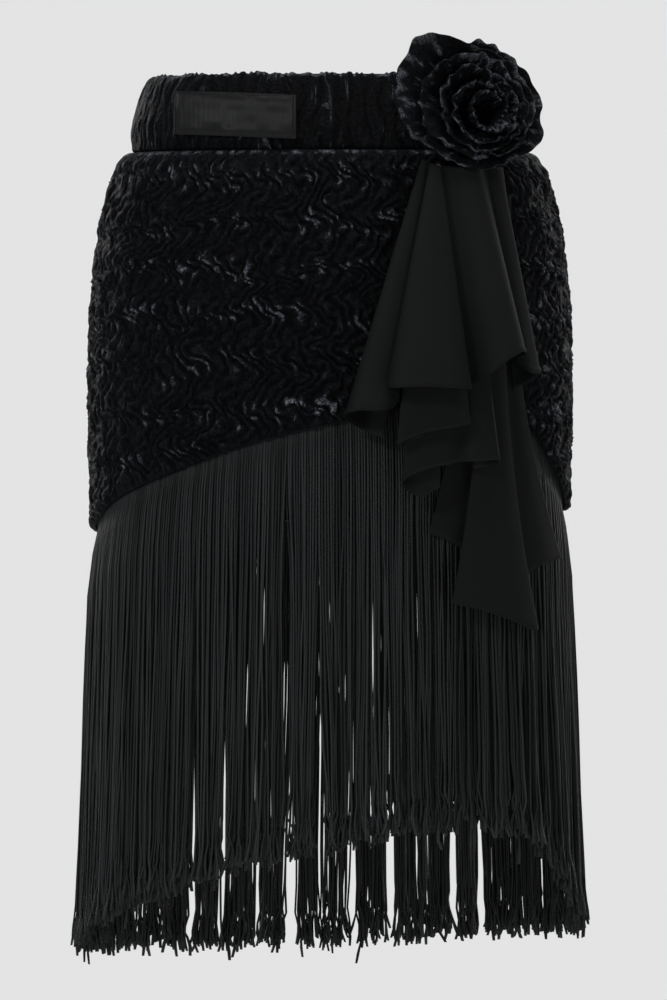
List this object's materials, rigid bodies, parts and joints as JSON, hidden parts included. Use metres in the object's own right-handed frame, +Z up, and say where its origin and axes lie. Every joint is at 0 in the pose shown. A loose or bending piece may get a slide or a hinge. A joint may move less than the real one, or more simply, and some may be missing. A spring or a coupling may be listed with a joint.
{
  "type": "fringe skirt",
  "caption": "Hollow fringe skirt in black crinkled velvet with a gathered elastic waistband, arched hem, long chainette fringe, rolled velvet rose and folded crepe cascade at one hip.",
  "frame": {"origin": "centre of the waist, halfway up the elastic waistband, where the wearer holds the skirt", "axes": "+Z up the wearer, +X to the wearer's left, where the rose and the cascade are, -Y to the front"},
  "size_m": [0.3663, 0.2939, 0.6608],
  "materials": {
    "velvet": "black crushed velvet with a cool blue-grey sheen on its ridges",
    "fringe": "black twisted rayon chainette with a soft sheen",
    "crepe": "matte black crepe",
    "satin": "black woven satin ribbon, bare"
  },
  "bodies": {
    "root": {"waistband": "velvet", "front_panel": "velvet", "back_panel": "velvet", "fringe": "fringe", "cascade_upper": "crepe", "cascade_middle": "crepe", "cascade_lower": "crepe", "cascade_tail": "crepe", "rose": "velvet", "label": "satin"}
  },
  "joints": []
}
